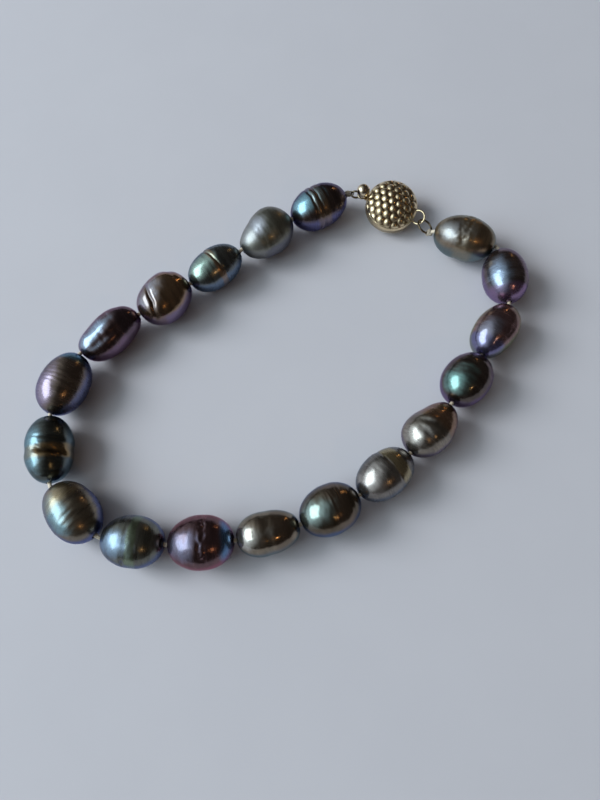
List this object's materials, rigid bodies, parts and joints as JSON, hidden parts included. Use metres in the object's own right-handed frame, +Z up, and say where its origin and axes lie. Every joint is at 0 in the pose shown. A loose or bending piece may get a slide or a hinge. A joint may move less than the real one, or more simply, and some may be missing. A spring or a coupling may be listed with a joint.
{
  "type": "pearl bracelet",
  "caption": "Single strand of dark baroque pearls on silk, closed by a round domed box clasp, fastened in a loop and lying flat.",
  "frame": {"origin": "middle of the fastened bracelet's box, on the surface it lies on", "axes": "+X along the loop's longest extent, +Y across it towards the clasp, +Z up from the surface"},
  "size_m": [0.0768, 0.0592, 0.0072],
  "materials": {
    "pearl_peacock": "nacre, dark with a blue-green overtone",
    "pearl_silver": "nacre, satin silver-grey",
    "pearl_slate": "nacre, blue-grey",
    "pearl_bronze": "nacre, olive-brown with a bronze overtone",
    "pearl_aubergine": "nacre, purple-brown with a pink overtone",
    "cream_silk": "twisted silk thread",
    "champagne_gold": "polished pale gold plate"
  },
  "bodies": {
    "root": {"pearl_01": "pearl_peacock", "pearl_02": "pearl_silver", "pearl_03": "pearl_slate", "pearl_04": "pearl_bronze", "pearl_05": "pearl_aubergine", "pearl_06": "pearl_bronze", "pearl_07": "pearl_peacock", "pearl_08": "pearl_bronze", "pearl_09": "pearl_slate", "pearl_10": "pearl_aubergine", "pearl_11": "pearl_silver", "pearl_12": "pearl_bronze", "pearl_13": "pearl_silver", "pearl_14": "pearl_silver", "pearl_15": "pearl_slate", "pearl_16": "pearl_aubergine", "pearl_17": "pearl_slate", "pearl_18": "pearl_bronze", "silk_thread": "cream_silk", "clasp_case": "champagne_gold", "clasp_tongue": "champagne_gold", "jump_ring_left": "champagne_gold", "jump_ring_right": "champagne_gold"}
  },
  "joints": []
}
